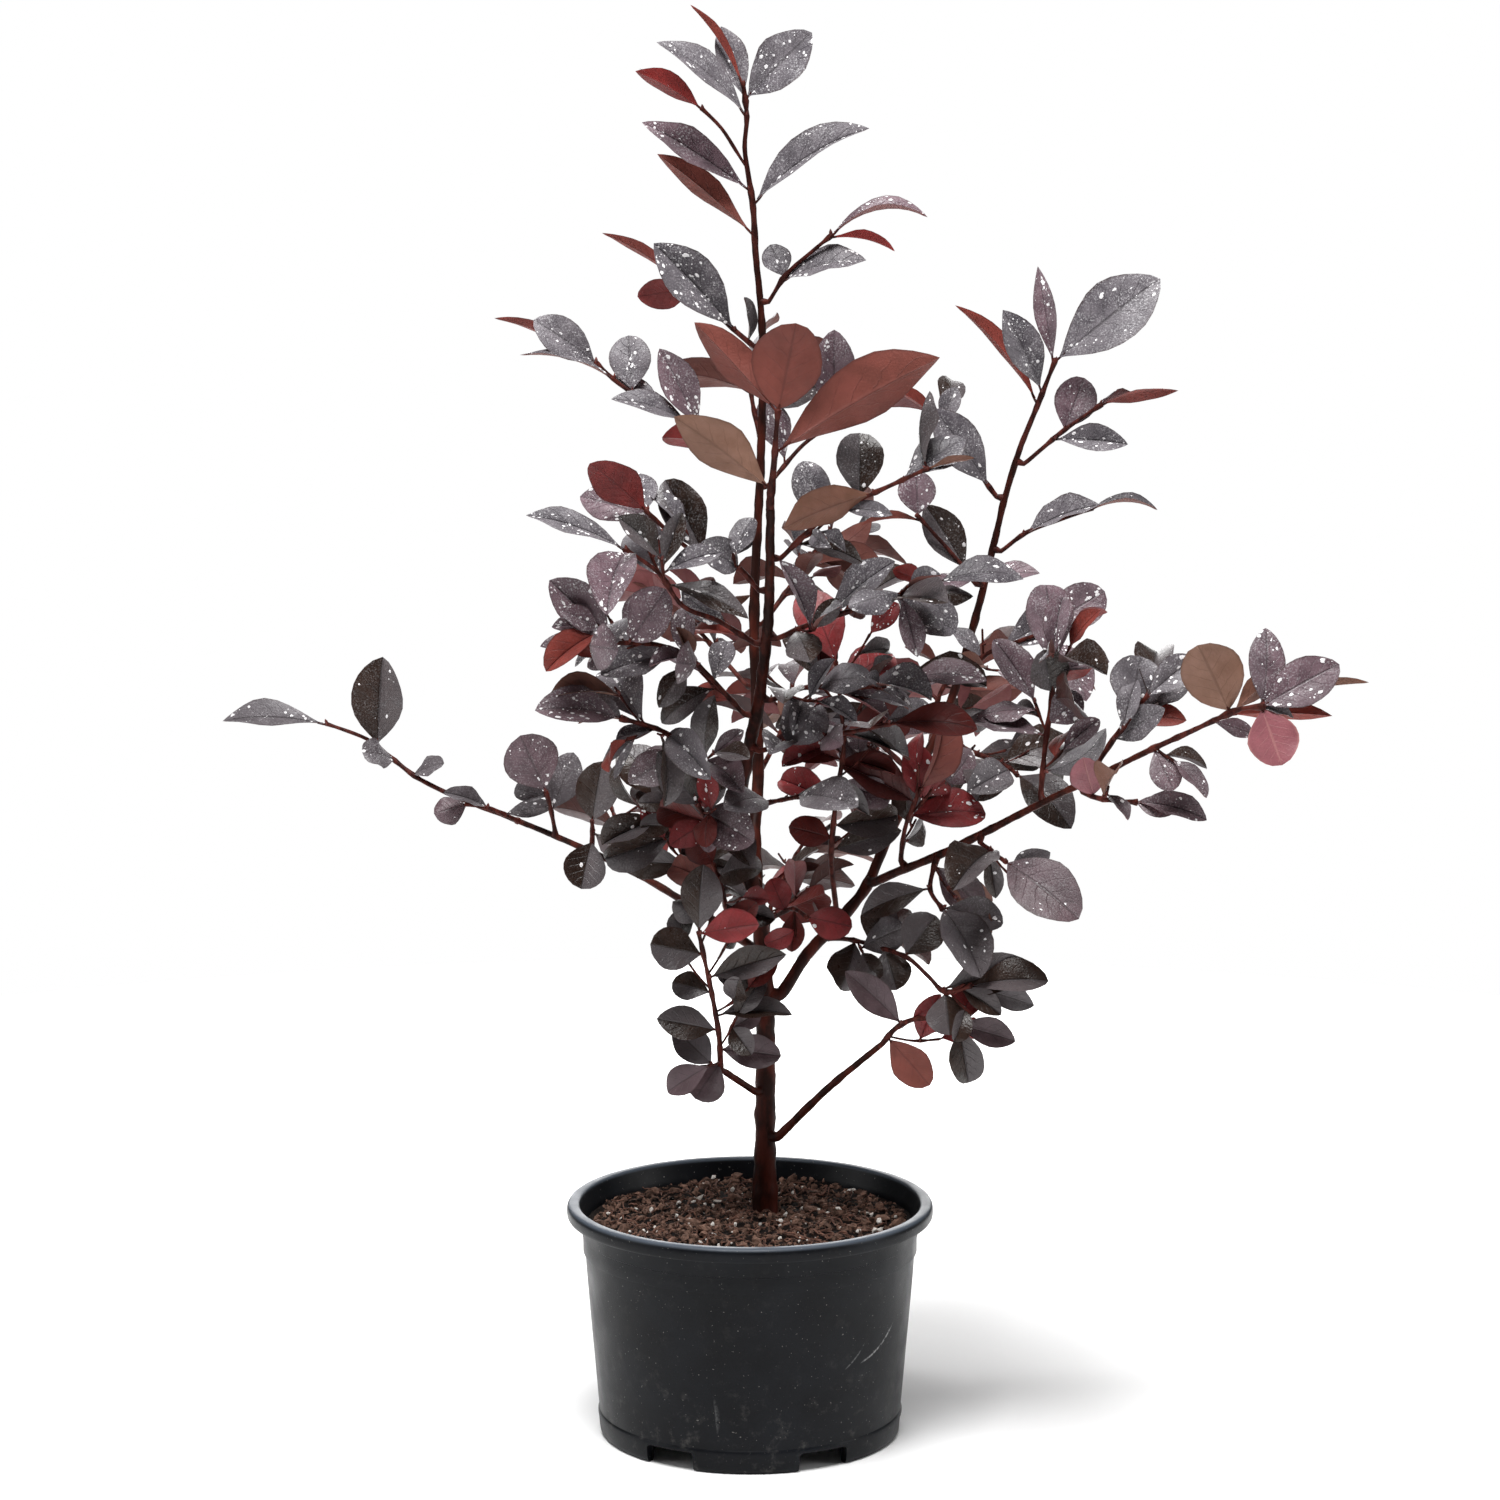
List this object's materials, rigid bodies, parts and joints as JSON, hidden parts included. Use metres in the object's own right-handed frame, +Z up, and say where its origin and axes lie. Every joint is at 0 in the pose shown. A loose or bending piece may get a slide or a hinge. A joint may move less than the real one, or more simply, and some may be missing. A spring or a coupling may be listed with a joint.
{
  "type": "potted chinese fringe flower shrub",
  "caption": "Young purple-leaved fringe flower shrub: an upright trunk with long side boughs and alternate oval leaves, growing in soil in a squat round black nursery pot.",
  "frame": {"origin": "on the ground under the centre of the pot, with the boughs and leaves spreading from it to all sides", "axes": "+Z up along the plant, +X to the right and -Y towards the viewer of the picture"},
  "size_m": [0.5219, 0.2911, 0.6571],
  "materials": {
    "pot_plastic": "moulded black polypropylene, satin, slightly scuffed",
    "potting_soil": "moist crumbly peat with perlite",
    "bark": "dark reddish brown young bark",
    "leaf_slate": "grey-purple leaf with a soft sheen",
    "leaf_mauve": "mauve leaf with a soft sheen",
    "leaf_dark": "dark bronze leaf, slightly glossy",
    "leaf_red": "wine red leaf",
    "leaf_under": "matt brown underside of a leaf"
  },
  "bodies": {
    "root": {"pot": "pot_plastic", "soil": "potting_soil", "trunk": "bark", "bough_rear": "bark", "bough_right": "bark", "bough_far_right": "bark", "bough_left": "bark", "bough_low_right": "bark", "bough_low_left": "bark", "leaves_front_top": "leaf_under", "leaves_top": "leaf_slate", "leaves_upper_right": "leaf_slate", "leaves_upper_left": "leaf_slate", "leaves_rear_left": "leaf_slate", "leaves_rear_right": "leaf_mauve", "leaves_right_top": "leaf_slate", "leaves_right_sprig": "leaf_mauve", "leaves_right_upper": "leaf_dark", "leaves_right_outer": "leaf_slate", "leaves_right_inner": "leaf_mauve", "leaves_right_mid": "leaf_mauve", "leaves_far_tip": "leaf_mauve", "leaves_far_up": "leaf_mauve", "leaves_far_rise": "leaf_slate", "leaves_far_low": "leaf_mauve", "leaves_far_hang": "leaf_mauve", "leaves_far_under": "leaf_slate", "leaves_far_inner": "leaf_red", "leaves_inner_right": "leaf_red", "leaves_front_right_high": "leaf_slate", "leaves_front_right_mid": "leaf_slate", "leaves_front_right_level": "leaf_slate", "leaves_front_right_low": "leaf_dark", "leaves_front_right_small": "leaf_slate", "leaves_mid_right_up": "leaf_mauve", "leaves_mid_right_out": "leaf_dark", "leaves_low_right": "leaf_red", "leaves_low_right_up": "leaf_dark", "leaves_fork_right": "leaf_red", "leaves_low_left": "leaf_dark", "leaves_left_tip": "leaf_dark", "leaves_left_mid": "leaf_mauve", "leaves_left_fork": "leaf_mauve", "leaves_left_inner": "leaf_dark", "leaves_left_rise": "leaf_dark", "leaves_left_near": "leaf_red", "leaves_left_red": "leaf_red", "leaves_front_left_low": "leaf_slate", "leaves_front_left_mid": "leaf_mauve", "leaves_front_left_high": "leaf_slate", "leaves_front_left_crest": "leaf_slate", "leaves_back_low": "leaf_dark", "leaves_back_mid": "leaf_mauve", "leaves_back_left": "leaf_slate", "leaves_back_right": "leaf_slate", "leaves_back_high": "leaf_slate", "leaves_back_bough": "leaf_mauve", "leaves_back_outer": "leaf_dark"}
  },
  "joints": []
}
